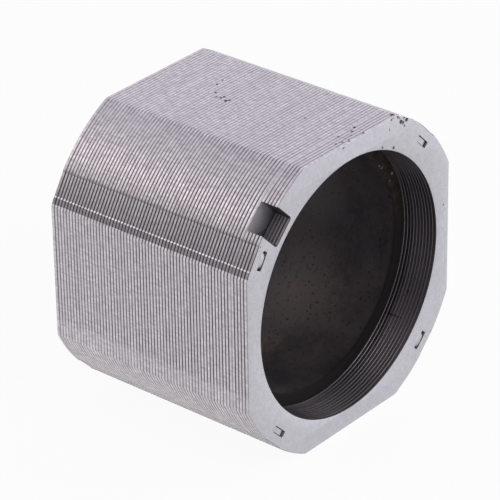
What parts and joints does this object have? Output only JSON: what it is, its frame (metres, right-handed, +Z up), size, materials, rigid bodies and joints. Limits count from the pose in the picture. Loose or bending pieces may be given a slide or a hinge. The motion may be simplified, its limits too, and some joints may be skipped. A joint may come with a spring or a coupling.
{
  "type": "stator lamination stack",
  "caption": "Square stack of thin punched steel laminations with rounded corners, interlock marks at the corners, a shallow key notch and a plain round bore lined by a set-back sleeve.",
  "frame": {"origin": "on the bore's axis, halfway along the stack", "axes": "+Y along the bore towards the rear face, so the notched front face looks along -Y; +Z up, square to the top and base flats; +X to the right seen from the front"},
  "size_m": [0.04, 0.0316, 0.04],
  "materials": {
    "lamination_steel": "satin",
    "end_steel": "satin",
    "sleeve": "matte"
  },
  "bodies": {
    "root": {"bore_sleeve": "sleeve", "end_lamination": "end_steel", "lamination_packet_01": "lamination_steel", "lamination_packet_02": "lamination_steel", "lamination_packet_03": "lamination_steel", "lamination_packet_04": "lamination_steel", "lamination_packet_05": "lamination_steel", "lamination_packet_06": "lamination_steel", "lamination_packet_07": "lamination_steel", "notched_lamination_2": "lamination_steel", "notched_lamination_3": "lamination_steel", "notched_lamination_4": "lamination_steel", "notched_lamination_5": "lamination_steel", "rear_lamination": "end_steel", "seat_lamination": "lamination_steel"}
  },
  "joints": []
}
